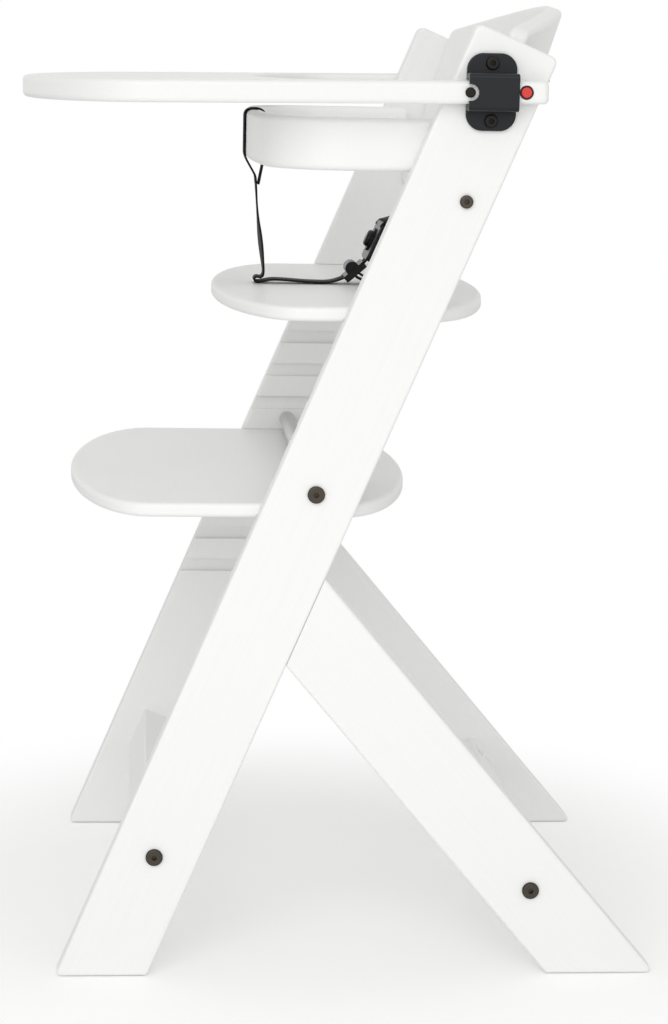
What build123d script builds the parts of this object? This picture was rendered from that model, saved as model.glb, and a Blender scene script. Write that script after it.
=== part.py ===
from build123d import *
import os
from math import atan2, cos, hypot, radians, sin, sqrt, tan

os.makedirs("parts", exist_ok=True)

# Baby high chair of painted boards: two leaning side frames, seat and footrest plates in grooves,
# a curved back panel, a safety bar, a U-shaped tray in plastic brackets and a webbing harness.
# Millimetres. +Z up, the chair faces -X, its left side is -Y, the origin is on the floor
# under the middle of the overall box.

# Side frames
frame_width = 450.0
board_width = 70.0
board_thickness = 22.0
base_depth = 501.0
leg_top = 781.0
front_lean = 22.8
back_lean = 40.2
leg_corner_round = 6.0
foot_corner_round = 3.0
leg_edge_round = 2.5

# Seat and footrest plates and their grooves
seat_drop = 226.0
groove_count = 10
footrest_step_count = 5
groove_pitch = 32.0
groove_depth = 6.0
plate_thickness = 12.0
plate_edge_round = 4.0
plate_end_depth = 68.0
seat_length = 233.0
seat_forward = 23.9
footrest_length = 291.5
footrest_forward = 49.2
groove_clearance = 0.3
plate_side_gap = 0.5

# Stretchers between the feet
stretcher_width = 38.0
stretcher_thickness = 24.0
stretcher_edge_round = 2.0
stretcher_bolt_rise = 9.0
front_bolt_height = 102.5
back_bolt_height = 73.0
stretcher_nut_inset = 30.0
bolt_end_room = 12.0

# Tie rod over the footrest
rod_diameter = 14.0
rod_clearance = 3.5
rod_thread_depth = 35.0

# Bolts, dowels and nuts
bolt_diameter = 6.0
bolt_hole_clearance = 0.25
bolt_head_diameter = 14.0
bolt_head_height = 3.0
button_head_diameter = 10.5
button_head_height = 3.3
hex_socket = 4.0
socket_depth = 1.8
head_edge_round = 1.0
thread_clearance = 0.05
barrel_diameter = 10.0
barrel_length = 14.0
dowel_diameter = 8.0
dowel_in_leg = 12.0
dowel_in_stretcher = 24.0
joint_dowel_depth = 18.0
fit_clearance = 0.1
insert_diameter = 8.5
insert_length = 13.0

# Back panel of bent plywood
panel_thickness = 15.0
panel_tilt = 17.5
panel_rise = 18.5
panel_sagitta = 47.0
panel_crown = 22.0
panel_side_height = 157.0
panel_arch = 36.0
panel_corner_round = 9.0
panel_edge_round = 4.0
panel_behind_edge = 28.0
panel_bolt_rise = 16.6
panel_dowel_drop = 45.0
panel_insert_length = 8.0
panel_insert_diameter = 7.0
panel_dowel_diameter = 6.0
panel_dowel_length = 18.0

# Safety bar
bar_drop = 118.0
bar_height = 42.0
bar_thickness = 15.0
bar_reach = 131.0
bar_lap = 28.0
bar_front_bow = 14.0
bar_corner_radius = 68.0
bar_edge_round = 5.0
bar_screw_diameter = 4.0
bar_screw_head = 8.0
bar_screw_head_height = 3.0
bar_screw_length = 30.0
bar_screw_spacing = 20.0
bar_screw_from_end = 13.0

# Tray
tray_length = 419.0
tray_thickness = 18.0
tray_drop = 53.5
tray_droop = 0.8
tray_front_depth = 110.0
tray_cut_depth = 78.0
tray_table_depth = 200.0
tray_edge_round = 4.0
arm_thickness = 16.0
arm_inner_gap = 1.0
arm_corner_round = 5.0
arm_tail = 24.0

# Tray brackets
bracket_length = 39.6
bracket_forward = 4.0
bracket_wing = 15.5
bracket_wing_thickness = 4.0
bracket_wall = 5.0
bracket_roof = 3.3
channel_gap = 0.7
roof_gap = 1.4
bracket_corner_round = 13.0
bracket_edge_round = 1.0
bracket_notch_radius = 6.5

# Tray stop pins and release buttons
pin_diameter = 8.0
pin_shank_diameter = 5.0
pin_inset = 1.3
pin_proud = 2.5
pin_length = 12.0
button_gap = 0.5
collar_diameter = 10.8
collar_wall = 1.0
collar_length = 4.0
collar_proud = 0.8
cap_clearance = 0.2
cap_proud = 1.0
cap_flange = 1.5
cap_edge_round = 0.7
button_pocket = 13.0
spring_wire = 0.8
spring_turns = 5
spring_clearance = 0.4

# Harness webbing, adjuster and buckle
strap_width = 22.0
webbing = 1.6
strap_gap = 0.5
strap_slot_clearance = 0.3
stitch_length = 7.0
strap_join_back = 9.0
strap_join_drop = 15.0
adjuster_length = 22.0
adjuster_width = 30.0
adjuster_thickness = 6.0
adjuster_angle = 41.0
adjuster_back = 97.0
adjuster_rise = 11.5
adjuster_hump = 6.0
adjuster_hump_rise = 4.0
buckle_length = 36.0
buckle_width = 50.0
buckle_thickness = 6.0
buckle_angle = 66.0
buckle_link = 3.5
buckle_pocket = 7.0
buckle_corner_round = 7.0
buckle_edge_round = 1.5
boss_diameter = 21.0
boss_height = 2.0
press_diameter = 15.0
press_proud = 4.0
press_round = 3.0
press_depth = 2.5
press_pocket = 6.5
press_clearance = 0.3
press_spring_turns = 3
shoulder_strap_gap = 3.0
shoulder_slot_drop = 64.5
shoulder_slot_out = 55.0
strap_slot_height = 8.0
strap_slot_side_gap = 3.0
strap_level_run = 20.0
strap_bend_share = 0.45
stop_length = 4.0
stop_height = 12.0
stop_width = 34.0
stop_edge_round = 1.5
strap_end = 1.5

# Turns
quarter_turn = 90.0
half_turn = 180.0

# Heights that follow the leg tops
seat_top = leg_top - seat_drop
bar_bottom = leg_top - bar_drop
tray_centre_height = leg_top - tray_drop
panel_top = leg_top + panel_rise
shoulder_slot_height = panel_top - shoulder_slot_drop

# Frame geometry worked out from the sizes above
front_angle = radians(front_lean)
back_angle = radians(back_lean)
outer_half = frame_width / 2
inner_half = outer_half - board_thickness
foot_length = board_width / cos(front_angle)
back_foot_length = board_width / cos(back_angle)
tray_tail_from_toe = (
    tray_centre_height * tan(front_angle) + foot_length / 2 - bracket_forward + bracket_length / 2 + arm_tail
)
heel_trim = foot_corner_round / tan(radians(quarter_turn - back_lean) / 2) - foot_corner_round
toe_x = -(tray_tail_from_toe - tray_length + base_depth - heel_trim) / 2
heel_x = toe_x + base_depth


def front_edge_x(z):
    """X of the front legs' front edge at a height."""
    return toe_x + z * tan(front_angle)


def leg_middle_x(z):
    """X of the front legs' centre line at a height."""
    return front_edge_x(z) + foot_length / 2


def back_leg_middle_x(z):
    """X of the back legs' centre line at a height."""
    return heel_x - back_foot_length / 2 - z * tan(back_angle)


def save(piece, name):
    """Label a finished piece and write its file."""
    piece.part.label = name
    export_step(piece.part, f"parts/{name}.step")


def save_sides(left, name):
    """Write a left-hand piece and its mirror image across the chair's middle plane."""
    with BuildPart() as right:
        mirror(left.part, about=Plane.XZ)
    save(left, f"left_{name}")
    save(right, f"right_{name}")


def save_both(left, name):
    """Write a left-hand group together with its mirror image as one node."""
    with BuildPart() as both:
        add(left.part)
        mirror(left.part, about=Plane.XZ)
    save(both, name)


def side_plane(distance):
    """Sketch plane on the left side, facing outwards, this far from the middle plane."""
    return Plane.XZ.offset(distance)


def inward_plane(distance, x, z):
    """Sketch plane on the left side at a point, facing the middle plane."""
    return Plane(origin=(x, -distance, z), x_dir=(1, 0, 0), z_dir=(0, 1, 0))


# Where the fixings go through the legs, as (x, z) on the side of the chair
rod_height = seat_top - footrest_step_count * groove_pitch + rod_clearance + rod_diameter / 2
rod_place = (leg_middle_x(rod_height), rod_height)
front_bolt_place = (leg_middle_x(front_bolt_height), front_bolt_height)
back_bolt_place = (back_leg_middle_x(back_bolt_height), back_bolt_height)
bracket_x = leg_middle_x(tray_centre_height) - bracket_forward
channel_half = tray_thickness / 2 + channel_gap + bracket_wall
bracket_screw_rise = channel_half + bracket_wing / 2
bracket_screw_places = [
    (bracket_x, tray_centre_height + bracket_screw_rise),
    (bracket_x, tray_centre_height - bracket_screw_rise),
]
bar_middle = bar_bottom + bar_height / 2
bar_end_x = front_edge_x(bar_middle) + bar_lap
bar_front_x = front_edge_x(bar_middle) - bar_reach
bar_top = bar_bottom + bar_height
bar_screw_places = [
    (bar_end_x - bar_screw_from_end, bar_middle + bar_screw_spacing / 2),
    (bar_end_x - bar_screw_from_end, bar_middle - bar_screw_spacing / 2),
]
dowel_offset = stretcher_bolt_rise * 2
front_dowel_place = (
    front_bolt_place[0] - dowel_offset * sin(front_angle),
    front_bolt_place[1] - dowel_offset * cos(front_angle),
)
back_dowel_place = (
    back_bolt_place[0] + dowel_offset * sin(back_angle),
    back_bolt_place[1] - dowel_offset * cos(back_angle),
)

# Back panel frame: its ends meet the legs along a line that leans back by the panel's tilt
tilt = radians(panel_tilt)
panel_radius = (inner_half**2 + panel_sagitta**2) / (2 * panel_sagitta)
panel_centre = panel_radius - panel_sagitta
panel_end_top = panel_top - panel_crown * cos(tilt)
panel_end_x = front_edge_x(panel_end_top) + panel_behind_edge
panel_end_slope = inner_half / panel_centre
panel_end_depth = sqrt((panel_radius + panel_thickness) ** 2 - inner_half**2) - panel_centre
panel_fixing_depth = (panel_end_depth + panel_insert_length * panel_end_slope) / 2


def panel_point(drop, depth):
    """(x, z) of a point below the panel's end top along the tilt and behind its front face."""
    x = panel_end_x - drop * sin(tilt) + depth * cos(tilt)
    z = panel_end_top - drop * cos(tilt) - depth * sin(tilt)
    return (x, z)


panel_bolt_place = panel_point(panel_side_height - panel_bolt_rise, panel_fixing_depth)
panel_dowel_place = panel_point(panel_dowel_drop, panel_fixing_depth)

bolt_hole = bolt_diameter / 2 + bolt_hole_clearance
dowel_hole = dowel_diameter / 2 + fit_clearance

# Joint between front and back leg
joint_span = tan(front_angle) + tan(back_angle)
joint_upper = (base_depth - foot_length) / joint_span
joint_lower = (base_depth - back_foot_length - foot_length) / joint_span
joint_rise = (joint_upper - joint_lower) / 4
joint_dowel_heights = [joint_lower + joint_rise, joint_upper - joint_rise]


def rear_edge_x(z):
    """X of the front legs' rear edge at a height."""
    return front_edge_x(z) + foot_length


def joint_plane(z):
    """Plane on the joint face at a height, with its normal along the dowels, down and back."""
    return Plane(
        origin=(rear_edge_x(z), -(inner_half + outer_half) / 2, z),
        x_dir=(0, 1, 0),
        z_dir=(cos(front_angle), 0, -sin(front_angle)),
    )


# Front legs
with BuildPart() as front_leg:
    with BuildSketch(side_plane(inner_half)):
        with BuildLine():
            top_x = front_edge_x(leg_top)
            top_rear = (top_x + board_width * cos(front_angle), leg_top - board_width * sin(front_angle))
            Polyline((toe_x, 0), (toe_x + foot_length, 0), top_rear, (top_x, leg_top), close=True)
        make_face()
        fillet(vertices().group_by(Axis.Y)[0], foot_corner_round)
        fillet(vertices().sort_by(Axis.Y)[-2:], leg_corner_round)
    extrude(amount=board_thickness)
    fillet(faces().filter_by(Axis.Y).edges(), leg_edge_round)
    with BuildSketch(side_plane(inner_half)):
        groove_heights = [seat_top - plate_thickness / 2 - i * groove_pitch for i in range(groove_count)]
        with Locations(*[(leg_middle_x(z), z) for z in groove_heights]):
            Rectangle(2 * foot_length, plate_thickness + 2 * groove_clearance)
    extrude(amount=groove_depth, mode=Mode.SUBTRACT)
    with BuildSketch(side_plane(inner_half)):
        with Locations(rod_place, front_bolt_place, panel_bolt_place):
            Circle(bolt_hole)
    extrude(amount=board_thickness, mode=Mode.SUBTRACT)
    with BuildSketch(side_plane(inner_half)):
        with Locations(front_dowel_place):
            Circle(dowel_hole)
    extrude(amount=dowel_in_leg, mode=Mode.SUBTRACT)
    with BuildSketch(side_plane(inner_half)):
        with Locations(panel_dowel_place):
            Circle(panel_dowel_diameter / 2 + fit_clearance)
    extrude(amount=panel_dowel_length - panel_insert_length, mode=Mode.SUBTRACT)
    with BuildSketch(side_plane(inner_half)):
        with Locations(*bar_screw_places):
            Circle(bar_screw_diameter / 2 + thread_clearance)
    extrude(amount=bar_screw_length - bar_thickness, mode=Mode.SUBTRACT)
    for x, z in bracket_screw_places:
        with BuildSketch(inward_plane(outer_half, x, z)):
            Circle(insert_diameter / 2 + fit_clearance)
        extrude(amount=insert_length, mode=Mode.SUBTRACT)
    for z in joint_dowel_heights:
        with BuildSketch(joint_plane(z)):
            Circle(dowel_hole)
        extrude(amount=-joint_dowel_depth, mode=Mode.SUBTRACT)
save_sides(front_leg, "front_leg")

# Back legs, cut to butt against the front legs' rear edges
with BuildPart() as back_leg:
    with BuildSketch(side_plane(inner_half)):
        with BuildLine():
            Polyline(
                (heel_x - back_foot_length, 0),
                (heel_x, 0),
                (rear_edge_x(joint_upper), joint_upper),
                (rear_edge_x(joint_lower), joint_lower),
                close=True,
            )
        make_face()
        fillet(vertices().group_by(Axis.Y)[0], foot_corner_round)
    extrude(amount=board_thickness)
    joint_face = faces().sort_by(Axis.X)[0]
    joint_edges = joint_face.edges()
    round_edges = [e for e in faces().filter_by(Axis.Y).edges() if e not in joint_edges]
    fillet(round_edges, leg_edge_round)
    with BuildSketch(side_plane(inner_half)):
        with Locations(back_bolt_place):
            Circle(bolt_hole)
    extrude(amount=board_thickness, mode=Mode.SUBTRACT)
    with BuildSketch(side_plane(inner_half)):
        with Locations(back_dowel_place):
            Circle(dowel_hole)
    extrude(amount=dowel_in_leg, mode=Mode.SUBTRACT)
    for z in joint_dowel_heights:
        with BuildSketch(joint_plane(z)):
            Circle(dowel_hole)
        extrude(amount=joint_dowel_depth, mode=Mode.SUBTRACT)
save_sides(back_leg, "back_leg")

# Dowels in the leg joints
with BuildPart() as leg_dowels:
    for z in joint_dowel_heights:
        with BuildSketch(joint_plane(z)):
            Circle(dowel_diameter / 2)
        extrude(amount=joint_dowel_depth, both=True)
save_both(leg_dowels, "leg_dowels")


def make_stretcher(place, lean, name):
    """Board across the feet, square to its legs, with a bolt and a dowel in each end."""
    along = (sin(lean), cos(lean))
    middle = (place[0] - along[0] * stretcher_bolt_rise, place[1] - along[1] * stretcher_bolt_rise)
    board_plane = Plane(origin=(middle[0], 0, middle[1]), x_dir=(along[0], 0, along[1]), z_dir=(0, -1, 0))
    with BuildPart() as stretcher:
        with BuildSketch(board_plane):
            RectangleRounded(stretcher_width, stretcher_thickness, stretcher_edge_round)
        extrude(amount=inner_half, both=True)
        for end in (1, -1):
            with BuildSketch(board_plane.offset(end * inner_half)):
                with Locations((stretcher_bolt_rise, 0)):
                    Circle(bolt_hole)
            extrude(amount=-end * (stretcher_nut_inset + bolt_end_room), mode=Mode.SUBTRACT)
            with BuildSketch(board_plane.offset(end * inner_half)):
                with Locations((-stretcher_bolt_rise, 0)):
                    Circle(dowel_hole)
            extrude(amount=-end * dowel_in_stretcher, mode=Mode.SUBTRACT)
            nut_y = end * (inner_half - stretcher_nut_inset)
            nut_plane = Plane(
                origin=(place[0], -nut_y, place[1]),
                x_dir=(0, 1, 0),
                z_dir=(cos(lean), 0, -sin(lean)),
            )
            with BuildSketch(nut_plane.offset(-barrel_length / 2)):
                Circle(barrel_diameter / 2 + fit_clearance)
            extrude(amount=stretcher_thickness, mode=Mode.SUBTRACT)
    save(stretcher, name)


make_stretcher(front_bolt_place, front_angle, "front_stretcher")
make_stretcher(back_bolt_place, -back_angle, "back_stretcher")

# Dowels beside the stretcher bolts
with BuildPart() as stretcher_dowels:
    for place in (front_dowel_place, back_dowel_place):
        with BuildSketch(side_plane(inner_half - dowel_in_stretcher)):
            with Locations(place):
                Circle(dowel_diameter / 2)
        extrude(amount=dowel_in_stretcher + dowel_in_leg)
save_both(stretcher_dowels, "stretcher_dowels")

# Barrel nuts that the stretcher bolts screw into
with BuildPart() as stretcher_nuts:
    for place, lean in ((front_bolt_place, front_angle), (back_bolt_place, -back_angle)):
        nut_plane = Plane(
            origin=(place[0], -(inner_half - stretcher_nut_inset), place[1]),
            x_dir=(0, 1, 0),
            z_dir=(cos(lean), 0, -sin(lean)),
        )
        with BuildSketch(nut_plane):
            Circle(barrel_diameter / 2)
        extrude(amount=barrel_length / 2, both=True)
        with BuildSketch(side_plane(inner_half - stretcher_nut_inset)):
            with Locations(place):
                Circle(bolt_diameter / 2 + thread_clearance)
        extrude(amount=barrel_diameter, both=True, mode=Mode.SUBTRACT)
save_both(stretcher_nuts, "stretcher_nuts")


def make_bolt(place, seat_y, shank, head_diameter, head_height):
    """Domed hex-socket bolt on the left side: head outside at seat_y, shank running inwards."""
    with BuildPart() as bolt:
        with BuildSketch(side_plane(seat_y)):
            with Locations(place):
                Circle(head_diameter / 2)
        extrude(amount=head_height)
        fillet(faces().sort_by(Axis.Y)[0].edges(), head_edge_round)
        with BuildSketch(side_plane(seat_y + head_height)):
            with Locations(place):
                RegularPolygon(hex_socket / 2, 6, major_radius=False)
        extrude(amount=-socket_depth, mode=Mode.SUBTRACT)
        with BuildSketch(side_plane(seat_y)):
            with Locations(place):
                Circle(bolt_diameter / 2)
        extrude(amount=-shank)
    return bolt.part


def save_bolts(name, places, seat_y, shank, head_diameter, head_height):
    """Write the bolts at these places, on both sides of the chair, as one node."""
    bolts = [make_bolt(place, seat_y, shank, head_diameter, head_height) for place in places]
    with BuildPart() as group:
        for bolt in bolts:
            add(bolt)
    save_both(group, name)


# Stretcher bolts, tie rod and its bolts
stretcher_shank = board_thickness + stretcher_nut_inset + barrel_diameter / 2
save_bolts(
    "stretcher_bolts",
    [front_bolt_place, back_bolt_place],
    outer_half,
    stretcher_shank,
    bolt_head_diameter,
    bolt_head_height,
)

with BuildPart() as tie_rod:
    with BuildSketch(side_plane(0)):
        with Locations(rod_place):
            Circle(rod_diameter / 2)
    extrude(amount=inner_half, both=True)
    chamfer(faces().filter_by(Axis.Y).edges(), head_edge_round)
    for end in (1, -1):
        with BuildSketch(side_plane(end * inner_half)):
            with Locations(rod_place):
                Circle(bolt_diameter / 2 + thread_clearance)
        extrude(amount=-end * rod_thread_depth, mode=Mode.SUBTRACT)
save(tie_rod, "tie_rod")
rod_shank = board_thickness + rod_thread_depth - bolt_diameter
save_bolts("tie_rod_bolts", [rod_place], outer_half, rod_shank, bolt_head_diameter, bolt_head_height)


def make_plate(name, length, forward, top):
    """Plate with elliptical ends that slides in a pair of grooves."""
    middle_x = leg_middle_x(top - plate_thickness / 2) - forward
    half_width = inner_half + groove_depth - plate_side_gap
    half_straight = length / 2 - plate_end_depth
    with BuildPart() as plate:
        with BuildSketch(Plane(origin=(middle_x, 0, top - plate_thickness))):
            with BuildLine():
                front = EllipticalCenterArc(
                    (-half_straight, 0), plate_end_depth, half_width, quarter_turn, arc_size=half_turn
                )
                rear = EllipticalCenterArc(
                    (half_straight, 0), plate_end_depth, half_width, -quarter_turn, arc_size=half_turn
                )
                Line(front @ 1, rear @ 0)
                Line(rear @ 1, front @ 0)
            make_face()
        extrude(amount=plate_thickness)
        fillet(faces().filter_by(Axis.Z).edges(), plate_edge_round)
    save(plate, name)


make_plate("seat", seat_length, seat_forward, seat_top)
make_plate("footrest", footrest_length, footrest_forward, seat_top - footrest_step_count * groove_pitch)


def panel_plane(drop):
    """Plane square to the panel's tilt, this far below its end tops; local x is +Y, local y forwards."""
    x, z = panel_point(drop, 0)
    return Plane(origin=(x, 0, z), x_dir=(0, 1, 0), z_dir=(sin(tilt), 0, cos(tilt)))


def panel_face_depth(y, radius):
    """How far behind the ends' front line a panel face of this radius lies, at a distance from the middle."""
    return sqrt(radius**2 - y**2) - panel_centre


def panel_face_x(y, z, radius):
    """X of a panel face at a distance from the middle and a height."""
    depth = panel_face_depth(y, radius)
    return panel_end_x - (panel_end_top - z) * tan(tilt) + depth / cos(tilt)


# Harness frames: the adjuster and the buckle lean back, joined by a short link of webbing
adjuster_lean = radians(adjuster_angle)
buckle_lean = radians(buckle_angle)
link_lean = (adjuster_lean + buckle_lean) / 2


def leaning_plane(x, z, lean):
    """Plane on the middle of the chair whose local x leans back at an angle and whose normal faces up."""
    return Plane(origin=(x, 0, z), x_dir=(cos(lean), 0, sin(lean)), z_dir=(-sin(lean), 0, cos(lean)))


adjuster_x = bar_front_x + adjuster_back
adjuster_z = seat_top + adjuster_rise
adjuster_half_x = adjuster_length / 2 * cos(adjuster_lean)
adjuster_half_z = adjuster_length / 2 * sin(adjuster_lean)
link_end_x = adjuster_x + adjuster_half_x + buckle_link * cos(link_lean)
link_end_z = adjuster_z + adjuster_half_z + buckle_link * sin(link_lean)
buckle_x = link_end_x + buckle_length / 2 * cos(buckle_lean)
buckle_z = link_end_z + buckle_length / 2 * sin(buckle_lean)
adjuster_plane = leaning_plane(adjuster_x, adjuster_z, adjuster_lean)
buckle_plane = leaning_plane(buckle_x, buckle_z, buckle_lean)

# Each shoulder strap lies in an upright plane from the buckle's top to its slot in the back panel
strap_start_x = buckle_x + buckle_length / 2 * cos(buckle_lean)
strap_start_y = -(strap_width + shoulder_strap_gap) / 2
strap_start_z = buckle_z + buckle_length / 2 * sin(buckle_lean)
slot_y = -shoulder_slot_out
slot_x = panel_face_x(slot_y, shoulder_slot_height, panel_radius)
strap_reach = hypot(slot_x - strap_start_x, slot_y - strap_start_y)
strap_heading = atan2(slot_y - strap_start_y, slot_x - strap_start_x)
shoulder_plane = Plane(
    origin=(strap_start_x, strap_start_y, strap_start_z),
    x_dir=(cos(strap_heading), sin(strap_heading), 0),
    z_dir=(sin(strap_heading), -cos(strap_heading), 0),
)
slot_plane = Plane(
    origin=(slot_x, slot_y, shoulder_slot_height),
    x_dir=shoulder_plane.z_dir,
    z_dir=shoulder_plane.x_dir,
)

# Slot that the left shoulder strap passes through
with BuildPart() as strap_slot:
    with BuildSketch(slot_plane):
        SlotOverall(strap_width + 2 * strap_slot_side_gap, strap_slot_height)
    extrude(amount=2 * panel_thickness, both=True)

# Back panel: an arc band in plan, trimmed to a crowned top, an arched bottom and flat ends
band_half = inner_half + panel_thickness
tilt_drop = panel_sagitta * tan(tilt)
with BuildPart() as back_panel:
    with BuildSketch(panel_plane(panel_side_height)):
        with BuildLine():
            front_end = -panel_face_depth(band_half, panel_radius)
            rear_end = -panel_face_depth(band_half, panel_radius + panel_thickness)
            front_face = ThreePointArc((-band_half, front_end), (0, -panel_sagitta), (band_half, front_end))
            rear_face = ThreePointArc(
                (-band_half, rear_end),
                (0, -panel_sagitta - panel_thickness),
                (band_half, rear_end),
            )
            Line(front_face @ 0, rear_face @ 0)
            Line(front_face @ 1, rear_face @ 1)
        make_face()
    extrude(amount=panel_side_height + panel_crown + tilt_drop)
    outline_plane = Plane(
        origin=(panel_end_x, 0, panel_end_top),
        x_dir=(0, 1, 0),
        z_dir=(cos(tilt), 0, -sin(tilt)),
    )
    with BuildSketch(outline_plane):
        with BuildLine():
            top = ThreePointArc((-inner_half, 0), (0, panel_crown + tilt_drop), (inner_half, 0))
            bottom = ThreePointArc(
                (-inner_half, -panel_side_height),
                (0, panel_arch + tilt_drop - panel_side_height),
                (inner_half, -panel_side_height),
            )
            Line(top @ 0, bottom @ 0)
            Line(top @ 1, bottom @ 1)
        make_face()
        fillet(vertices(), panel_corner_round)
    extrude(amount=2 * panel_sagitta, both=True, mode=Mode.INTERSECT)
    fillet(faces().sort_by(SortBy.AREA)[-2:].edges(), panel_edge_round)
    add(strap_slot.part, mode=Mode.SUBTRACT)
    mirror(strap_slot.part, about=Plane.XZ, mode=Mode.SUBTRACT)
    for end in (1, -1):
        with BuildSketch(side_plane(end * inner_half)):
            with Locations(panel_bolt_place):
                Circle(panel_insert_diameter / 2 + fit_clearance)
            with Locations(panel_dowel_place):
                Circle(panel_dowel_diameter / 2 + fit_clearance)
        extrude(amount=-end * panel_insert_length, mode=Mode.SUBTRACT)
save(back_panel, "back_panel")

# Inserts and dowels in the panel's ends, and the bolts through the legs
with BuildPart() as panel_inserts:
    with BuildSketch(side_plane(inner_half)):
        with Locations(panel_bolt_place):
            Circle(panel_insert_diameter / 2)
            Circle(bolt_diameter / 2 + thread_clearance, mode=Mode.SUBTRACT)
    extrude(amount=-panel_insert_length)
save_both(panel_inserts, "back_panel_inserts")

with BuildPart() as panel_dowels:
    with BuildSketch(side_plane(inner_half - panel_insert_length)):
        with Locations(panel_dowel_place):
            Circle(panel_dowel_diameter / 2)
    extrude(amount=panel_dowel_length)
save_both(panel_dowels, "back_panel_dowels")
panel_shank = board_thickness + panel_insert_length
save_bolts(
    "back_panel_bolts",
    [panel_bolt_place],
    outer_half,
    panel_shank,
    button_head_diameter,
    button_head_height,
)


def bar_outline(inset):
    """Plan of the safety bar's hoop, drawn in from its outside by an inset."""
    side = inner_half - inset
    shoulder_x = bar_front_x + bar_front_bow + inset
    with BuildSketch() as outline:
        with BuildLine():
            bow = ThreePointArc((shoulder_x, side), (bar_front_x + inset, 0), (shoulder_x, -side))
            Polyline(bow @ 1, (bar_end_x + inset, -side), (bar_end_x + inset, side), bow @ 0)
        make_face()
        fillet(vertices().group_by(Axis.X)[0], bar_corner_radius - inset)
    return outline.sketch


# Safety bar: a bent hoop whose arms lie on the legs' inner faces, with its screws
bar_outside = bar_outline(0)
bar_inside = bar_outline(bar_thickness)
with BuildPart() as safety_bar:
    with BuildSketch(Plane.XY.offset(bar_bottom)):
        add(bar_outside)
        add(bar_inside, mode=Mode.SUBTRACT)
    extrude(amount=bar_height)
    fillet(edges().filter_by(Plane.XY), bar_edge_round)
    for end in (1, -1):
        with BuildSketch(side_plane(end * inner_half)):
            with Locations(*bar_screw_places):
                Circle(bar_screw_diameter / 2 + fit_clearance)
        extrude(amount=-end * bar_thickness, mode=Mode.SUBTRACT)
save(safety_bar, "safety_bar")

with BuildPart() as bar_screws:
    with BuildSketch(side_plane(inner_half - bar_thickness)):
        with Locations(*bar_screw_places):
            Circle(bar_screw_diameter / 2)
    extrude(amount=bar_screw_length)
    with BuildSketch(side_plane(inner_half - bar_thickness)):
        with Locations(*bar_screw_places):
            Circle(bar_screw_head / 2)
    extrude(amount=-bar_screw_head_height)
    fillet(faces().sort_by(Axis.Y)[-2:].edges(), head_edge_round)
save_both(bar_screws, "safety_bar_screws")


# Tray: a U-shaped board whose arms run outside the legs and droop a little in the brackets' play
arm_inner = outer_half + arm_inner_gap
arm_outer = arm_inner + arm_thickness
droop = radians(tray_droop)
tray_plane = Plane(
    origin=(bracket_x, 0, tray_centre_height),
    x_dir=(cos(droop), 0, sin(droop)),
    z_dir=(-sin(droop), 0, cos(droop)),
)
tray_tail = bracket_length / 2 + arm_tail
tray_front = tray_tail - tray_length


def arm_place(back):
    """(x, z) on the drooping arms' centre line, this far behind the brackets' middle."""
    return (bracket_x + back * cos(droop), tray_centre_height + back * sin(droop))


button_place = arm_place(bracket_length / 2 + button_gap + collar_diameter / 2)
pin_place = arm_place(pin_inset - bracket_length / 2)
button_plane = inward_plane(arm_outer, *button_place)
pin_plane = inward_plane(arm_outer, *pin_place)

with BuildPart() as tray:
    with BuildSketch(tray_plane.offset(-tray_thickness / 2)):
        with BuildLine():
            rim_x = tray_front + tray_front_depth
            rim = EllipticalCenterArc(
                (rim_x, 0), tray_front_depth, arm_outer, quarter_turn, arc_size=half_turn
            )
            cut_x = tray_front + tray_table_depth + tray_cut_depth
            cut = EllipticalCenterArc(
                (cut_x, 0), tray_cut_depth, arm_inner, quarter_turn, arc_size=half_turn
            )
            Polyline(rim @ 0, (tray_tail, arm_outer), (tray_tail, arm_inner), cut @ 0)
            Polyline(rim @ 1, (tray_tail, -arm_outer), (tray_tail, -arm_inner), cut @ 1)
        make_face()
        fillet(vertices().group_by(Axis.X)[-1], arm_corner_round)
    extrude(amount=tray_thickness)
    fillet(faces().filter_by(tray_plane).edges(), tray_edge_round)
    for end in (1, -1):
        with BuildSketch(side_plane(end * arm_outer)):
            with Locations(button_place):
                Circle(collar_diameter / 2 + fit_clearance)
        extrude(amount=-end * button_pocket, mode=Mode.SUBTRACT)
        with BuildSketch(side_plane(end * arm_outer)):
            with Locations(pin_place):
                Circle(pin_shank_diameter / 2 + fit_clearance)
        extrude(amount=-end * pin_length, mode=Mode.SUBTRACT)
save(tray, "tray")

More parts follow.
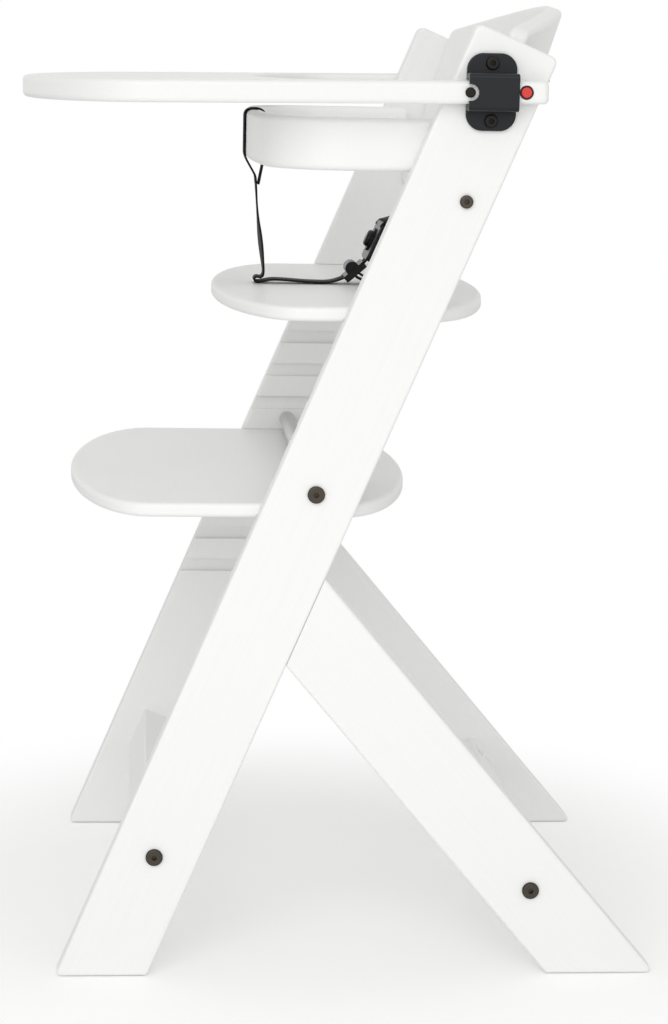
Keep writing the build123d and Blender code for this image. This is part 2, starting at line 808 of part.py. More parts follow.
# Tray brackets: a hat section with two screwed wings, its channel open front and back
with BuildPart() as tray_bracket:
    channel_inside = arm_inner_gap + arm_thickness + roof_gap
    hat_height = channel_inside + bracket_roof
    with BuildSketch(Plane.YZ.offset(bracket_x - bracket_length / 2)):
        with Locations((-outer_half - bracket_wing_thickness / 2, tray_centre_height)):
            Rectangle(bracket_wing_thickness, 2 * (channel_half + bracket_wing))
        with Locations((-outer_half - hat_height / 2, tray_centre_height)):
            Rectangle(hat_height, 2 * channel_half)
        fillet(vertices().group_by(Axis.X)[0], bracket_roof)
        with Locations((-outer_half - channel_inside / 2, tray_centre_height)):
            Rectangle(channel_inside, 2 * (channel_half - bracket_wall), mode=Mode.SUBTRACT)
    extrude(amount=bracket_length)
    upright_edges = edges().filter_by(Axis.Y).group_by(Axis.Z)
    fillet(upright_edges[0] + upright_edges[-1], bracket_corner_round)
    side_faces = faces().filter_by(Axis.Y).group_by(Axis.Y)
    wing_reach = channel_half + fit_clearance
    wing_rims = [e for e in side_faces[-2].edges() if abs(e.center().Z - tray_centre_height) > wing_reach]
    fillet(wing_rims, bracket_edge_round)
    fillet(side_faces[0].edges().filter_by(Axis.Z), bracket_edge_round)
    with BuildSketch(side_plane(outer_half + hat_height)):
        with Locations(pin_place):
            Circle(bracket_notch_radius)
    extrude(amount=-bracket_roof - roof_gap, mode=Mode.SUBTRACT)
    with BuildSketch(side_plane(outer_half)):
        with Locations(*bracket_screw_places):
            Circle(bolt_hole)
    extrude(amount=bracket_wing_thickness, mode=Mode.SUBTRACT)
save_sides(tray_bracket, "tray_bracket")

bracket_shank = bracket_wing_thickness + insert_length
save_bolts(
    "bracket_screws",
    bracket_screw_places,
    outer_half + bracket_wing_thickness,
    bracket_shank,
    button_head_diameter,
    button_head_height,
)

with BuildPart() as bracket_inserts:
    with BuildSketch(side_plane(outer_half)):
        with Locations(*bracket_screw_places):
            Circle(insert_diameter / 2)
            Circle(bolt_diameter / 2 + thread_clearance, mode=Mode.SUBTRACT)
    extrude(amount=-insert_length)
save_both(bracket_inserts, "bracket_inserts")

# Stop pins in front of the brackets
with BuildPart() as stop_pins:
    with BuildSketch(pin_plane):
        Circle(pin_diameter / 2)
    extrude(amount=-pin_proud)
    fillet(faces().sort_by(Axis.Y)[0].edges(), head_edge_round)
    with BuildSketch(pin_plane):
        Circle(pin_shank_diameter / 2)
    extrude(amount=pin_length)
save_both(stop_pins, "tray_stop_pins")

# Release buttons behind the brackets: collar, cap with a flange, and a coil spring
flange_start = collar_length - collar_proud + fit_clearance
flange_radius = collar_diameter / 2 - cap_clearance
cap_radius = collar_diameter / 2 - collar_wall - cap_clearance
spring_radius = flange_radius - spring_clearance - spring_wire / 2
spring_start = flange_start + cap_flange + spring_wire / 2 + fit_clearance
spring_length = button_pocket - spring_start - spring_wire / 2 - fit_clearance

with BuildPart() as button_collars:
    with BuildSketch(button_plane.offset(-collar_proud)):
        Circle(collar_diameter / 2)
        Circle(collar_diameter / 2 - collar_wall, mode=Mode.SUBTRACT)
    extrude(amount=collar_length)
save_both(button_collars, "button_collars")

with BuildPart() as release_button:
    with BuildSketch(button_plane.offset(-cap_proud)):
        Circle(cap_radius)
    extrude(amount=cap_proud + flange_start)
    fillet(faces().sort_by(Axis.Y)[0].edges(), cap_edge_round)
    with BuildSketch(button_plane.offset(flange_start)):
        Circle(flange_radius)
    extrude(amount=cap_flange)
save_sides(release_button, "release_button")


def make_spring(origin, direction, length, radius, turns):
    """Coil spring from a point along a direction."""
    with BuildPart() as spring:
        with BuildLine():
            coil = Helix(length / turns, length, radius, center=origin, direction=direction)
        with BuildSketch(Plane(origin=coil @ 0, z_dir=coil % 0)):
            Circle(spring_wire / 2)
        sweep()
    return spring


spring_origin = (button_place[0], -arm_outer + spring_start, button_place[1])
button_spring = make_spring(spring_origin, (0, 1, 0), spring_length, spring_radius, spring_turns)
save_sides(button_spring, "button_spring")


def corner_radii(points, tightest):
    """Arc at each corner of a strap: a share of the shorter run over the tangent of half the turn.

    A corner that the strap takes tightly round an edge has its own radius in tightest, by its place.
    """
    radii = []
    for i, (before, here, after) in enumerate(zip(points, points[1:], points[2:])):
        run_in = Vector(here) - Vector(before)
        run_out = Vector(after) - Vector(here)
        turn = radians(run_in.get_angle(run_out))
        shorter_run = min(run_in.length, run_out.length)
        radii.append(tightest.get(i, strap_bend_share * shorter_run / tan(turn / 2)))
    return radii


def make_strap(plane, points, tightest, clearance):
    """Webbing along points in a plane, its width square to that plane, grown by a clearance for a slot."""
    thickness = webbing + 2 * clearance
    width = strap_width + 2 * clearance
    radii = corner_radii(points, tightest)
    with BuildPart() as strap:
        with BuildSketch(plane):
            with BuildLine() as line:
                FilletPolyline(*points, radius=radii)
            trace(line_width=thickness)
        extrude(amount=width / 2, both=True)
    length = sum(edge.length for edge in line.line.edges())
    print("strap radii", [round(r, 1) for r in radii])
    swept_volume = length * thickness * width
    print("strap length", round(length), "volume", round(strap.part.volume), "of", round(swept_volume))
    return strap.part


# Crotch strap: sewn round the safety bar, down to a fold on the seat, back through the adjuster to the buckle
loop_off = strap_gap + webbing / 2
loop_front = bar_front_x - loop_off
loop_rear = bar_front_x + bar_thickness + loop_off
loop_bottom = bar_bottom + bar_edge_round / 2
join_x = bar_front_x + strap_join_back
join_z = bar_bottom - strap_join_drop
edge_bend = bar_edge_round + loop_off
fold_route = [
    (11, 62),
    (14, 38),
    (16.6, 16),
    (15.6, 9.2),
    (8.5, 7),
    (5.2, 4.2),
    (8.5, 1.5),
    (17, 1.9),
    (35, 2.6),
    (58, 1.5),
    (80, 1.6),
]
fold_back, fold_rise = fold_route[0]
sewn_share = stitch_length / (join_z - seat_top - fold_rise)
sewn_x = join_x + sewn_share * (bar_front_x + fold_back - join_x)
crotch_route = [
    (sewn_x + webbing + strap_slot_clearance, join_z - stitch_length),
    (loop_rear, loop_bottom),
    (loop_rear, bar_top + loop_off),
    (loop_front, bar_top + loop_off),
    (loop_front, loop_bottom),
    (join_x, join_z),
    *[(bar_front_x + back, seat_top + rise) for back, rise in fold_route],
    (adjuster_x, adjuster_z),
    (link_end_x, link_end_z),
    (link_end_x + buckle_pocket * cos(buckle_lean), link_end_z + buckle_pocket * sin(buckle_lean)),
]
loop_bends = {corner: edge_bend for corner in range(4)}
crotch_solid = make_strap(side_plane(0), crotch_route, loop_bends, 0)
crotch_slot = make_strap(side_plane(0), crotch_route, loop_bends, strap_slot_clearance)
with BuildPart() as crotch_strap:
    add(crotch_solid)
save(crotch_strap, "crotch_strap")

# Adjuster: a slotted plate with a round lock bar across it
with BuildPart() as crotch_adjuster:
    with BuildSketch(adjuster_plane.offset(-adjuster_thickness / 2)):
        RectangleRounded(adjuster_length, adjuster_width, adjuster_thickness / 2)
    extrude(amount=adjuster_thickness)
    hump_x = adjuster_x - adjuster_hump_rise * sin(adjuster_lean)
    hump_z = adjuster_z + adjuster_hump_rise * cos(adjuster_lean)
    with BuildSketch(side_plane(0)):
        with Locations((hump_x, hump_z)):
            Circle(adjuster_hump)
    extrude(amount=adjuster_width / 2 - adjuster_thickness / 2, both=True)
    add(crotch_slot, mode=Mode.SUBTRACT)
save(crotch_adjuster, "crotch_adjuster")

# Buckle: a rounded plate with a boss, and a domed press button over a spring
with BuildPart() as buckle_body:
    with BuildSketch(buckle_plane.offset(-buckle_thickness / 2)):
        RectangleRounded(buckle_length, buckle_width, buckle_corner_round)
    extrude(amount=buckle_thickness)
    fillet(faces().filter_by(buckle_plane).edges(), buckle_edge_round)
    with BuildSketch(buckle_plane.offset(buckle_thickness / 2)):
        Circle(boss_diameter / 2)
    extrude(amount=boss_height)
    with BuildSketch(buckle_plane.offset(buckle_thickness / 2 + boss_height)):
        Circle(press_diameter / 2 + press_clearance)
    extrude(amount=-press_pocket, mode=Mode.SUBTRACT)
    add(crotch_slot, mode=Mode.SUBTRACT)
save(buckle_body, "buckle_body")

press_face = buckle_thickness / 2 + boss_height
with BuildPart() as buckle_button:
    with BuildSketch(buckle_plane.offset(press_face - press_depth)):
        Circle(press_diameter / 2)
    extrude(amount=press_depth + press_proud)
    fillet(faces().sort_by(Axis(buckle_plane.origin, buckle_plane.z_dir))[-1].edges(), press_round)
save(buckle_button, "buckle_button")

press_spring_start = press_face - press_depth - spring_wire / 2 - fit_clearance
press_spring_length = press_pocket - press_depth - spring_wire - 2 * fit_clearance
buckle_spring = make_spring(
    buckle_plane.from_local_coords((0, 0, press_spring_start)),
    -buckle_plane.z_dir,
    press_spring_length,
    press_diameter / 2 - spring_clearance - spring_wire,
    press_spring_turns,
)
save(buckle_spring, "buckle_spring")

# Shoulder straps: from the buckle's top edge up to the panel and through its slots to the stops
slot_rise = shoulder_slot_height - strap_start_z
panel_through = (panel_thickness + stop_length) / cos(strap_heading) / cos(tilt) + strap_end
shoulder_route = [
    (-1.2, -2.7),
    (4.5, 7),
    (18, 16.5),
    (44, 33),
    (70, 58),
    (88, 90),
    (strap_reach - strap_level_run, slot_rise),
    (strap_reach + panel_through, slot_rise),
]
shoulder_solid = make_strap(shoulder_plane, shoulder_route, {}, 0)
shoulder_slot = make_strap(shoulder_plane, shoulder_route, {}, strap_slot_clearance)
with BuildPart() as shoulder_strap:
    add(shoulder_solid)
    add(buckle_body.part, mode=Mode.SUBTRACT)
save_sides(shoulder_strap, "shoulder_strap")

# Stops behind the panel that keep the shoulder straps from pulling through
rear_radius = panel_radius + panel_thickness
stop_y = slot_y + (slot_y - strap_start_y) / strap_reach * panel_thickness
stop_turn = atan2(stop_y, sqrt(rear_radius**2 - stop_y**2))
stop_plane = Plane(
    origin=(panel_face_x(stop_y, shoulder_slot_height, rear_radius), stop_y, shoulder_slot_height),
    x_dir=(-sin(stop_turn) * cos(tilt), cos(stop_turn), sin(stop_turn) * sin(tilt)),
    z_dir=(cos(stop_turn) * cos(tilt), sin(stop_turn), -cos(stop_turn) * sin(tilt)),
)
with BuildPart() as strap_stops:
    with BuildSketch(stop_plane.offset(fit_clearance)):
        RectangleRounded(stop_width, stop_height, stop_edge_round)
    extrude(amount=stop_length)
    fillet(faces().filter_by(stop_plane).edges(), stop_edge_round / 2)
    add(shoulder_slot, mode=Mode.SUBTRACT)
save_both(strap_stops, "strap_stops")
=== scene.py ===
from math import atan2, cos, hypot, pi, radians, sin

import bpy
import numpy as np
from mathutils import Matrix, Vector


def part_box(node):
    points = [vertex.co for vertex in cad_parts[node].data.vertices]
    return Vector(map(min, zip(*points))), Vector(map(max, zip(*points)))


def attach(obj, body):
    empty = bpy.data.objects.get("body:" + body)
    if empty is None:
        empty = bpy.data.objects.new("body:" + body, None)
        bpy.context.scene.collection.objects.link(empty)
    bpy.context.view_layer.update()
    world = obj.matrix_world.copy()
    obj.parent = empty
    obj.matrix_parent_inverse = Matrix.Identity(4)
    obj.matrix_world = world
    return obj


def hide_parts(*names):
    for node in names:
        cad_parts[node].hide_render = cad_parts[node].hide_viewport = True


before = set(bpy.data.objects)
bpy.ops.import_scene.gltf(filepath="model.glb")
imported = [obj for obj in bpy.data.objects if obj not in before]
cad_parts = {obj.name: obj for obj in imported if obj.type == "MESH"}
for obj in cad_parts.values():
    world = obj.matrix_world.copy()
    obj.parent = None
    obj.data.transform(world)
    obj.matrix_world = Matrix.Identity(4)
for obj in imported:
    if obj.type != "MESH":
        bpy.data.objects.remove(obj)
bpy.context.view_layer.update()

bl_info = {
    "name": "Baby High Chair",
    "version": (1, 0, 0),
    "blender": (4, 5, 0),
    "location": "View3D > Sidebar > High Chair",
    "description": "Finishes, harness webbing and studio for a painted baby high chair",
    "category": "Object",
}

# Metres in a millimetre
MM = 0.001

# Places taken from the frame, in metres
bar_low, bar_high = (Vector(corner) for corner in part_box("safety_bar"))
seat_high = Vector(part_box("seat")[1])
leg_low = Vector(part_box("left_front_leg")[0])


def linear(code):
    """Turn an sRGB hex code such as F4F4F2 into linear red, green and blue."""
    srgb = np.array([int(code[i : i + 2], 16) for i in (0, 2, 4)]) / 255
    return tuple(np.where(srgb <= 0.04045, srgb / 12.92, ((srgb + 0.055) / 1.055) ** 2.4))


def colour(name, description, code):
    """Colour property whose default is an sRGB hex code."""
    return bpy.props.FloatVectorProperty(
        name=name, description=description, default=linear(code), subtype="COLOR", min=0, max=1
    )


def size(name, description, millimetres):
    """Length property whose default is given in millimetres."""
    return bpy.props.FloatProperty(
        name=name, description=description, default=millimetres * MM, unit="LENGTH"
    )


class BoardFinish(bpy.types.PropertyGroup):
    """Paint on the boards."""

    paint: colour("Paint", "White satin paint on the boards", "F4F4F3")
    paint_thin: colour("Thin paint", "Paint where it lies thinner over the grain", "EFEFED")
    grain_width: size("Grain width", "Width of the wood grain that shows through the paint", 1.6)
    grain_length: size("Grain length", "Length of one streak of that grain", 70)
    spray_size: size("Spray texture", "Size of the orange peel that spraying leaves", 2.2)
    cloud_size: size("Paint patches", "Size of the soft patches in the paint's gloss", 60)


class FixingFinish(bpy.types.PropertyGroup):
    """Metal and plastic of the fixings."""

    bronze: colour("Dark bronze", "Dark plated steel of the bolts", "565049")
    oxide: colour("Black oxide", "Blackened steel of the bracket screws and the stop pins", "2E2C2A")
    zinc: colour("Zinc", "Bright zinc of the nuts and inserts", "BFC2C4")
    steel: colour("Steel", "Satin steel of the tie rod", "C4C4C3")
    spring_wire: colour("Spring wire", "Drawn wire of the springs", "9A9A98")
    beech_pale: colour("Pale beech", "Pale streaks of the dowels", "D9B88C")
    beech_dark: colour("Dark beech", "Dark streaks of the dowels", "B78D5C")
    black: colour("Black plastic", "Grained plastic of the tray brackets and the stops", "1A1C20")
    buckle_black: colour("Buckle black", "Gloss plastic of the buckle and the adjuster", "141517")
    red: colour("Red plastic", "Gloss plastic of the release buttons", "D8372E")
    moulding_grain: size("Moulding grain", "Grain of the moulded plastic", 0.7)
    plating_grain: size("Plating grain", "Speckle of the plated metal", 0.5)
    # Reach and tone of the painted shade in sockets and corners and on rims of the plated metals
    painted_shade_reach: size("Recess reach", "How far the dark of a socket or a corner reaches", 2.5)
    painted_shade_tone: bpy.props.FloatProperty(
        name="Recess tone", description="Share of the metal's tone left in a recess", default=0.12
    )


class HarnessFinish(bpy.types.PropertyGroup):
    """Webbing of the harness."""

    webbing: colour("Webbing", "Raised threads of the woven webbing", "1C1C1E")
    webbing_shade: colour("Webbing shade", "Gaps between its threads", "0E0E0F")
    width: size("Strap width", "Width of the webbing", 22)
    thickness: size("Strap thickness", "Thickness of the webbing", 1.6)
    thread: size("Thread spacing", "Spacing of the weft ribs along the webbing", 1.5)
    warp: size("Warp spacing", "Spacing of the warp cords across the webbing", 2.2)
    crotch_length: size("Crotch strap length", "Whole length of the crotch strap", 349)
    shoulder_length: size("Shoulder strap length", "Whole length of each shoulder strap", 205)
    stitch: size("Stitch length", "Length of one stitch of the sewn join", 2.6)
    stitch_gap: size("Stitch gap", "Gap between one stitch and the next", 0.7)
    stitch_thread: size("Stitch thread", "Thickness of the sewing thread", 0.8)
    sewing: colour("Sewing thread", "Waxed thread of the sewn join", "202022")


class StudioSet(bpy.types.PropertyGroup):
    """Floor, lamps and camera."""

    floor: colour("Floor", "Pale studio floor", "F2F2F1")
    key_power: bpy.props.FloatProperty(
        name="Key power", description="Watts of the large lamp high in front", default=41
    )
    bounce_power: bpy.props.FloatProperty(
        name="Bounce power", description="Watts of the low lamp near the floor", default=2.6
    )
    ambient: bpy.props.FloatProperty(
        name="Ambient", description="Strength of the soft light all round", default=0.66
    )
    floor_lift: bpy.props.FloatProperty(
        name="Floor lift", description="Brightness that the floor gains for the camera alone", default=0.17
    )
    lens: bpy.props.FloatProperty(
        name="Lens", description="Focal length of the camera in millimetres", default=60.40
    )
    camera_behind_toe: size("Camera behind toe", "How far behind the toes the camera stands", 64.3)
    camera_distance: size("Camera distance", "Distance of the camera from the chair's middle plane", 2260.4)
    camera_height: size("Camera height", "Height of the camera over the floor", 760)
    camera_yaw: bpy.props.FloatProperty(
        name="Camera yaw",
        description="Turn towards the rear",
        default=radians(4.417),
        subtype="ANGLE",
    )
    camera_pitch: bpy.props.FloatProperty(
        name="Camera pitch",
        description="Tilt downwards",
        default=radians(10.232),
        subtype="ANGLE",
    )
    camera_roll: bpy.props.FloatProperty(
        name="Camera roll",
        description="Turn about the line of sight",
        default=radians(1.217),
        subtype="ANGLE",
    )


# Materials


def add_node(tree, kind, sockets=None, **settings):
    """Add a shader node: settings are its properties, and each socket gets a value or a link."""
    node = tree.nodes.new(kind)
    for name, value in settings.items():
        setattr(node, name, value)
    for name, value in (sockets or {}).items():
        if isinstance(value, bpy.types.NodeSocket):
            tree.links.new(value, node.inputs[name])
        else:
            node.inputs[name].default_value = value
    return node


def new_material(name):
    """Material with an empty node tree; returns both."""
    material = bpy.data.materials.new(name)
    material.use_nodes = True
    material.node_tree.nodes.clear()
    return material, material.node_tree


def rgba(value):
    """Colour with full alpha for a node socket."""
    return (*value, 1)


def wave_scale(spacing):
    """Scale at which bands along one axis of a wave texture repeat at this spacing.

    At a scale of 1 they repeat every pi / 10, and diagonal bands about a sixth wider.
    """
    return pi / 10 / spacing


def dress(material, *names):
    """Give a material to every slot of these CAD nodes."""
    for name in names:
        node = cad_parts[name]
        if not node.material_slots:
            raise RuntimeError(f"{name} has no material slot")
        for slot in node.material_slots:
            slot.material = material


def painted_board(name, turn):
    """Sprayed satin paint on a board whose grain runs along its own Z, turned by these angles.

    Pale and even, with a soft gloss, faint streaks of grain under the paint and a fine orange peel.
    The streaks and the peel are drawn about twice as coarse as the real ones so that they show.
    """
    finish = bpy.context.scene.board_finish
    material, tree = new_material(name)
    place = add_node(tree, "ShaderNodeTexCoord").outputs["Object"]
    grain_sizes = (finish.grain_width, finish.grain_width, finish.grain_length)
    along = add_node(
        tree,
        "ShaderNodeMapping",
        {"Vector": place, "Rotation": turn, "Scale": grain_sizes},
        vector_type="TEXTURE",
    )
    grain = add_node(
        tree,
        "ShaderNodeTexNoise",
        {"Vector": along.outputs["Vector"], "Scale": 1.0, "Detail": 3.0, "Roughness": 0.55},
    )
    peel = add_node(
        tree,
        "ShaderNodeTexNoise",
        {"Vector": place, "Scale": 1 / finish.spray_size, "Detail": 1.0},
    )
    cloud = add_node(
        tree,
        "ShaderNodeTexNoise",
        {"Vector": place, "Scale": 1 / finish.cloud_size, "Detail": 2.0},
    )
    tint = add_node(
        tree,
        "ShaderNodeMix",
        {"Factor": grain.outputs["Fac"], "A": rgba(finish.paint), "B": rgba(finish.paint_thin)},
        data_type="RGBA",
    )
    gloss = add_node(
        tree,
        "ShaderNodeMapRange",
        {"Value": cloud.outputs["Fac"], "To Min": 0.34, "To Max": 0.46},
    )
    streaks = add_node(
        tree,
        "ShaderNodeBump",
        {"Strength": 0.06, "Distance": 0.1 * MM, "Height": grain.outputs["Fac"]},
    )
    skin = add_node(
        tree,
        "ShaderNodeBump",
        {
            "Strength": 0.05,
            "Distance": 0.1 * MM,
            "Height": peel.outputs["Fac"],
            "Normal": streaks.outputs["Normal"],
        },
    )
    shader = add_node(
        tree,
        "ShaderNodeBsdfPrincipled",
        {
            "Base Color": tint.outputs["Result"],
            "Roughness": gloss.outputs["Result"],
            "IOR": 1.48,
            "Normal": skin.outputs["Normal"],
        },
    )
    add_node(tree, "ShaderNodeOutputMaterial", {"Surface": shader.outputs["BSDF"]})
    return material


def plated_metal(name, tone, smooth, rough):
    """Plated or drawn metal: its gloss varies in a fine speckle between two roughnesses.

    Its colour carries painted shade in sockets and corners, and a painted dark reflection where a surface
    turns away from the screws' line along Y, so that a screw head shows its recess and a dark rim.
    """
    finish = bpy.context.scene.fixing_finish
    material, tree = new_material(name)
    place = add_node(tree, "ShaderNodeTexCoord").outputs["Object"]
    speckle = add_node(
        tree,
        "ShaderNodeTexNoise",
        {"Vector": place, "Scale": 1 / finish.plating_grain, "Detail": 2.0},
    )
    gloss = add_node(
        tree,
        "ShaderNodeMapRange",
        {"Value": speckle.outputs["Fac"], "To Min": smooth, "To Max": rough},
    )
    # Painted shade: ambient occlusion darkens the colour in sockets and corners
    painted_occlusion = add_node(tree, "ShaderNodeAmbientOcclusion", {"Distance": finish.painted_shade_reach})
    # Painted dark reflection: the colour darkens on rims whose normal turns away from Y
    normal = add_node(tree, "ShaderNodeNewGeometry").outputs["Normal"]
    lean = add_node(tree, "ShaderNodeSeparateXYZ", {"Vector": normal}).outputs["Y"]
    square = add_node(tree, "ShaderNodeMath", {0: lean}, operation="ABSOLUTE")
    flat = add_node(
        tree,
        "ShaderNodeMapRange",
        {"Value": square.outputs["Value"], "From Min": 0.6, "From Max": 0.98},
    )
    painted_lightness = add_node(
        tree,
        "ShaderNodeMath",
        {0: painted_occlusion.outputs["AO"], 1: flat.outputs["Result"]},
        operation="MULTIPLY",
    )
    # Colour of the painted shade and the painted dark reflection: the metal's tone scaled down
    recess = [finish.painted_shade_tone * channel for channel in tone]
    tint = add_node(
        tree,
        "ShaderNodeMix",
        {"Factor": painted_lightness.outputs["Value"], "A": rgba(recess), "B": rgba(tone)},
        data_type="RGBA",
    )
    shader = add_node(
        tree,
        "ShaderNodeBsdfPrincipled",
        {"Base Color": tint.outputs["Result"], "Metallic": 1.0, "Roughness": gloss.outputs["Result"]},
    )
    add_node(tree, "ShaderNodeOutputMaterial", {"Surface": shader.outputs["BSDF"]})
    return material


def drawn_steel(name):
    """Satin steel rod: fine scratches along Y from drawing, which spread its highlight round the rod."""
    finish = bpy.context.scene.fixing_finish
    material, tree = new_material(name)
    place = add_node(tree, "ShaderNodeTexCoord").outputs["Object"]
    scratch_stretch = 60
    scratch_sizes = (finish.plating_grain, scratch_stretch * finish.plating_grain, finish.plating_grain)
    along = add_node(
        tree,
        "ShaderNodeMapping",
        {"Vector": place, "Scale": scratch_sizes},
        vector_type="TEXTURE",
    )
    scratches = add_node(
        tree,
        "ShaderNodeTexNoise",
        {"Vector": along.outputs["Vector"], "Scale": 1.0, "Detail": 3.0},
    )
    gloss = add_node(
        tree,
        "ShaderNodeMapRange",
        {"Value": scratches.outputs["Fac"], "To Min": 0.28, "To Max": 0.48},
    )
    lines = add_node(
        tree,
        "ShaderNodeBump",
        {"Strength": 0.1, "Distance": 0.05 * MM, "Height": scratches.outputs["Fac"]},
    )
    shader = add_node(
        tree,
        "ShaderNodeBsdfPrincipled",
        {
            "Base Color": rgba(finish.steel),
            "Metallic": 1.0,
            "Roughness": gloss.outputs["Result"],
            "Normal": lines.outputs["Normal"],
        },
    )
    add_node(tree, "ShaderNodeOutputMaterial", {"Surface": shader.outputs["BSDF"]})
    return material


def bare_beech(name):
    """Turned beech dowel: pale wood with short darker flecks along Y and a dull surface."""
    finish = bpy.context.scene.fixing_finish
    board = bpy.context.scene.board_finish
    material, tree = new_material(name)
    place = add_node(tree, "ShaderNodeTexCoord").outputs["Object"]
    along = add_node(
        tree,
        "ShaderNodeMapping",
        {"Vector": place, "Scale": (board.grain_width, board.grain_length, board.grain_width)},
        vector_type="TEXTURE",
    )
    flecks = add_node(
        tree,
        "ShaderNodeTexNoise",
        {"Vector": along.outputs["Vector"], "Scale": 1.0, "Detail": 4.0},
    )
    wood = add_node(
        tree,
        "ShaderNodeMix",
        {"Factor": flecks.outputs["Fac"], "A": rgba(finish.beech_pale), "B": rgba(finish.beech_dark)},
        data_type="RGBA",
    )
    shader = add_node(
        tree,
        "ShaderNodeBsdfPrincipled",
        {"Base Color": wood.outputs["Result"], "Roughness": 0.65},
    )
    add_node(tree, "ShaderNodeOutputMaterial", {"Surface": shader.outputs["BSDF"]})
    return material


def moulded_plastic(name, tone, smooth, rough, grain_depth, shine):
    """Injection-moulded plastic: one colour with a fine pebbled grain that breaks up its gloss.

    The shine is the share of its mirror reflection, which lightens a dark moulding seen at a slant.
    The grain is drawn about twice as coarse as on the real moulding so that it shows.
    """
    finish = bpy.context.scene.fixing_finish
    material, tree = new_material(name)
    place = add_node(tree, "ShaderNodeTexCoord").outputs["Object"]
    pebbles = add_node(
        tree,
        "ShaderNodeTexNoise",
        {"Vector": place, "Scale": 1 / finish.moulding_grain, "Detail": 2.0},
    )
    gloss = add_node(
        tree,
        "ShaderNodeMapRange",
        {"Value": pebbles.outputs["Fac"], "To Min": smooth, "To Max": rough},
    )
    skin = add_node(
        tree,
        "ShaderNodeBump",
        {"Strength": grain_depth, "Distance": 0.1 * MM, "Height": pebbles.outputs["Fac"]},
    )
    shader = add_node(
        tree,
        "ShaderNodeBsdfPrincipled",
        {
            "Base Color": rgba(tone),
            "Roughness": gloss.outputs["Result"],
            "IOR": 1.53,
            "Specular IOR Level": shine,
            "Normal": skin.outputs["Normal"],
        },
    )
    add_node(tree, "ShaderNodeOutputMaterial", {"Surface": shader.outputs["BSDF"]})
    return material


def woven_webbing(name):
    """Woven black webbing: weft ribs across the strap, crossed by warp cords, with a dull cloth sheen.

    U runs across the strap and V along it, both in metres.
    """
    finish = bpy.context.scene.harness_finish
    material, tree = new_material(name)
    place = add_node(tree, "ShaderNodeTexCoord").outputs["UV"]
    ribs = add_node(
        tree,
        "ShaderNodeTexWave",
        {"Vector": place, "Scale": wave_scale(finish.thread), "Distortion": 0.4, "Detail": 1.0},
        bands_direction="Y",
    )
    cords = add_node(
        tree,
        "ShaderNodeTexWave",
        {"Vector": place, "Scale": wave_scale(finish.warp), "Distortion": 0.2, "Detail": 1.0},
        bands_direction="X",
    )
    weave = add_node(
        tree,
        "ShaderNodeMath",
        {0: ribs.outputs["Fac"], 1: cords.outputs["Fac"]},
        operation="MULTIPLY",
    )
    tint = add_node(
        tree,
        "ShaderNodeMix",
        {"Factor": weave.outputs["Value"], "A": rgba(finish.webbing_shade), "B": rgba(finish.webbing)},
        data_type="RGBA",
    )
    threads = add_node(
        tree,
        "ShaderNodeBump",
        {"Strength": 0.5, "Distance": 0.3 * MM, "Height": weave.outputs["Value"]},
    )
    shader = add_node(
        tree,
        "ShaderNodeBsdfPrincipled",
        {
            "Base Color": tint.outputs["Result"],
            "Roughness": 0.75,
            "Specular IOR Level": 0.2,
            "Sheen Weight": 0.1,
            "Sheen Roughness": 0.4,
            "Normal": threads.outputs["Normal"],
        },
    )
    add_node(tree, "ShaderNodeOutputMaterial", {"Surface": shader.outputs["BSDF"]})
    return material


def waxed_thread(name):
    """Black waxed sewing thread: a soft shine broken by the fine turns of its twist."""
    finish = bpy.context.scene.harness_finish
    material, tree = new_material(name)
    place = add_node(tree, "ShaderNodeTexCoord").outputs["Object"]
    turns = add_node(
        tree,
        "ShaderNodeTexWave",
        {"Vector": place, "Scale": wave_scale(finish.stitch_thread), "Distortion": 0.2},
        bands_direction="DIAGONAL",
    )
    twist = add_node(
        tree,
        "ShaderNodeBump",
        {"Strength": 0.4, "Distance": 0.1 * MM, "Height": turns.outputs["Fac"]},
    )
    shader = add_node(
        tree,
        "ShaderNodeBsdfPrincipled",
        {"Base Color": rgba(finish.sewing), "Roughness": 0.45, "Normal": twist.outputs["Normal"]},
    )
    add_node(tree, "ShaderNodeOutputMaterial", {"Surface": shader.outputs["BSDF"]})
    return material


# Shapes


def curve_points(points):
    """Points on the smooth curve through these given control points, as an array."""
    curve = bpy.data.curves.new("route", "CURVE")
    curve.dimensions = "3D"
    curve.resolution_u = 12
    spline = curve.splines.new("NURBS")
    spline.points.add(len(points) - 1)
    spline.points.foreach_set("co", np.column_stack([points, np.ones(len(points))]).ravel())
    spline.order_u = 3
    spline.use_endpoint_u = True
    guide = bpy.data.objects.new("route", curve)
    line = bpy.data.meshes.new_from_object(guide)
    route = np.empty(3 * len(line.vertices))
    line.vertices.foreach_get("co", route)
    bpy.data.meshes.remove(line)
    bpy.data.objects.remove(guide)
    bpy.data.curves.remove(curve)
    return route.reshape(-1, 3)


def add_piece(name, vertices, faces, uv=None):
    """Mesh object at the origin from arrays of vertices and faces, with an optional UV for each vertex."""
    mesh = bpy.data.meshes.new(name)
    mesh.from_pydata(vertices.tolist(), [], faces)
    if mesh.validate():
        raise RuntimeError(f"{name} has faults in its mesh")
    if uv is not None:
        corners = np.empty(len(mesh.loops), dtype=np.int32)
        mesh.loops.foreach_get("vertex_index", corners)
        mesh.uv_layers.new(name="UVMap").data.foreach_set("uv", uv[corners].ravel())
    mesh.polygons.foreach_set("use_smooth", np.ones(len(mesh.polygons), dtype=bool))
    piece = bpy.data.objects.new(name, mesh)
    bpy.context.scene.collection.objects.link(piece)
    return piece


